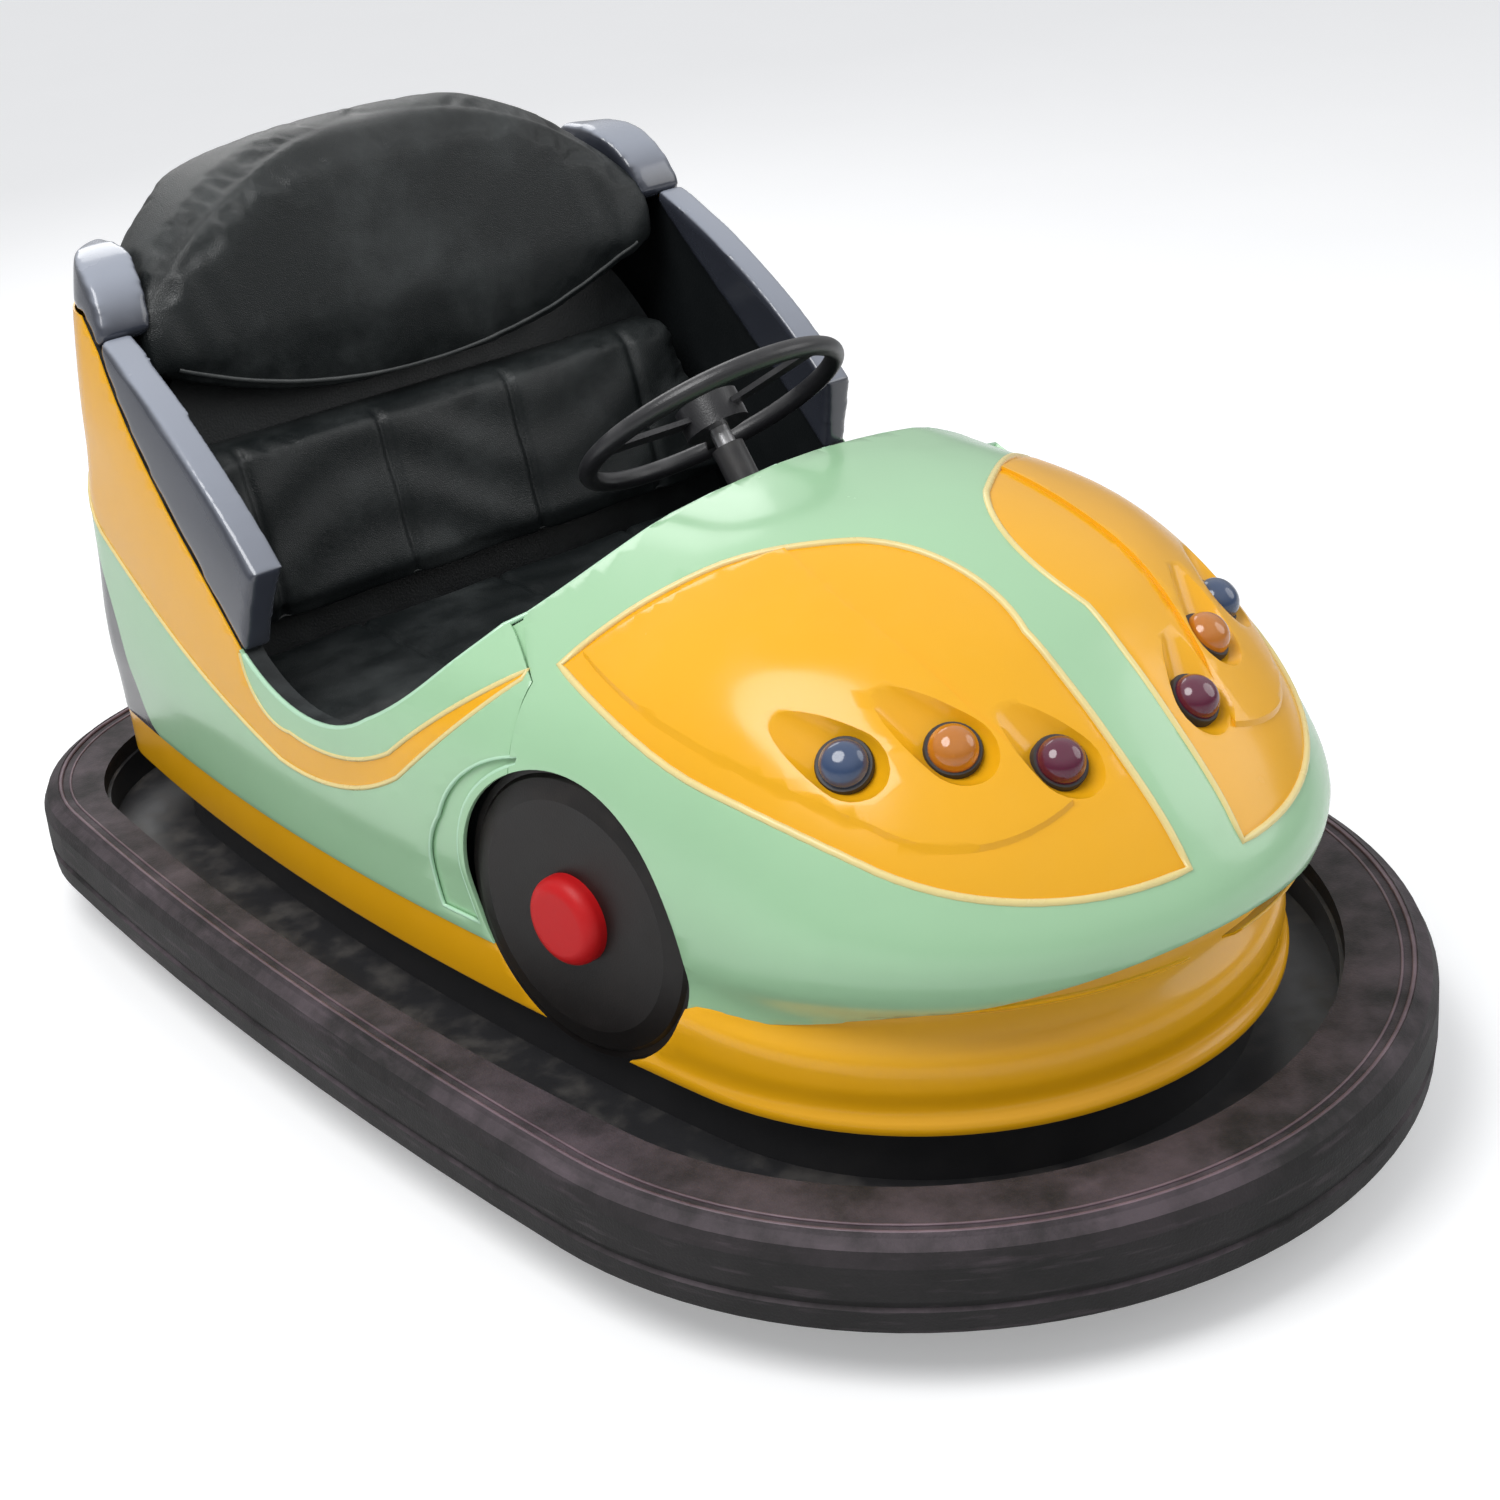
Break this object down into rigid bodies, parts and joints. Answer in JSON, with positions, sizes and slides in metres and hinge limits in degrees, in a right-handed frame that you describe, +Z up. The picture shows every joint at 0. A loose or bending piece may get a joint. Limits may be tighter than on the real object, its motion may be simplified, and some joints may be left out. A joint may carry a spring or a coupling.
{
  "type": "fairground bumper car",
  "caption": "Two-seat fairground bumper car: rounded moulded body on a flat chassis inside an all-round rubber bumper, with a steered drive wheel in the nose.",
  "frame": {"origin": "on the floor under the middle of the rubber bumper's outline", "axes": "+Z up, nose toward -Y, the car's left side toward +X"},
  "size_m": [1.2118, 1.95, 1.0002],
  "materials": {
    "mint_shell": "gloss gelcoat",
    "yellow_panel": "gloss gelcoat",
    "bumper_rubber": "matt",
    "chassis_steel": "black paint",
    "cast_hub": "as cast",
    "wheel_rubber": "matt",
    "bright_steel": "machined",
    "motor_paint": "satin",
    "liner_black": "satin moulding",
    "pad_vinyl": "satin vinyl",
    "trim_vinyl": "gloss moulding",
    "grip_black": "satin",
    "disc_black": "satin",
    "hub_red": "gloss",
    "lamp_blue": "gloss lens",
    "lamp_amber": "gloss lens",
    "lamp_purple": "gloss lens",
    "battery_case": "matt"
  },
  "bodies": {
    "chassis": {"back_cushion": "pad_vinyl", "battery_block": "battery_case", "body_plinth": "chassis_steel", "bumper_channel": "chassis_steel", "bumper_tube": "bumper_rubber", "chassis_rails": "chassis_steel", "cockpit_liner": "liner_black", "column_tube": "chassis_steel", "dash_panel": "liner_black", "floor_pan": "chassis_steel", "foot_pedal": "bright_steel", "front_shell": "mint_shell", "front_valance": "yellow_panel", "head_pad": "pad_vinyl", "hood_panel_left": "yellow_panel", "hood_panel_right": "yellow_panel", "hub_cap_left": "hub_red", "hub_cap_right": "hub_red", "lamp_amber_left": "lamp_amber", "lamp_amber_right": "lamp_amber", "lamp_blue_left": "lamp_blue", "lamp_blue_right": "lamp_blue", "lamp_purple_left": "lamp_purple", "lamp_purple_right": "lamp_purple", "rear_axle": "bright_steel", "rear_shell": "mint_shell", "rim_trim_left": "trim_vinyl", "rim_trim_right": "trim_vinyl", "seat_cushion": "pad_vinyl", "seat_moulding": "liner_black", "side_flash_left": "yellow_panel", "side_flash_right": "yellow_panel", "side_skirt": "yellow_panel", "turntable_posts": "chassis_steel", "turntable_ring": "bright_steel", "wheel_cover_left": "disc_black", "wheel_cover_right": "disc_black"},
    "drive_unit": {"drive_yoke": "chassis_steel", "drive_motor": "motor_paint"},
    "drive_wheel": {"drive_hub": "cast_hub", "drive_tyre": "wheel_rubber"},
    "steering": {"steering_wheel": "grip_black", "steering_shaft": "bright_steel"},
    "rear_wheel_left": {"rear_hub_left": "cast_hub", "rear_tyre_left": "wheel_rubber"},
    "rear_wheel_right": {"rear_hub_right": "cast_hub", "rear_tyre_right": "wheel_rubber"}
  },
  "joints": [
    {"name": "steering_turn", "type": "hinge", "parent": "chassis", "child": "steering", "pos_m": [0, -0.09, 0.725], "axis": [0, 0.6171, 0.7869], "continuous": true},
    {"name": "drive_unit_turn", "type": "hinge", "parent": "chassis", "child": "drive_unit", "pos_m": [0, -0.45, 0.1], "axis": [0, 0, 1], "continuous": true},
    {"name": "drive_wheel_roll", "type": "hinge", "parent": "drive_unit", "child": "drive_wheel", "pos_m": [0, -0.45, 0.1], "axis": [1, 0, 0], "continuous": true},
    {"name": "rear_wheel_left_roll", "type": "hinge", "parent": "chassis", "child": "rear_wheel_left", "pos_m": [0.325, 0.48, 0.08], "axis": [1, 0, 0], "continuous": true},
    {"name": "rear_wheel_right_roll", "type": "hinge", "parent": "chassis", "child": "rear_wheel_right", "pos_m": [-0.325, 0.48, 0.08], "axis": [1, 0, 0], "continuous": true}
  ],
  "couplings": [
    {"joint": "steering_turn", "follows": "drive_unit_turn", "ratio": 1}
  ]
}
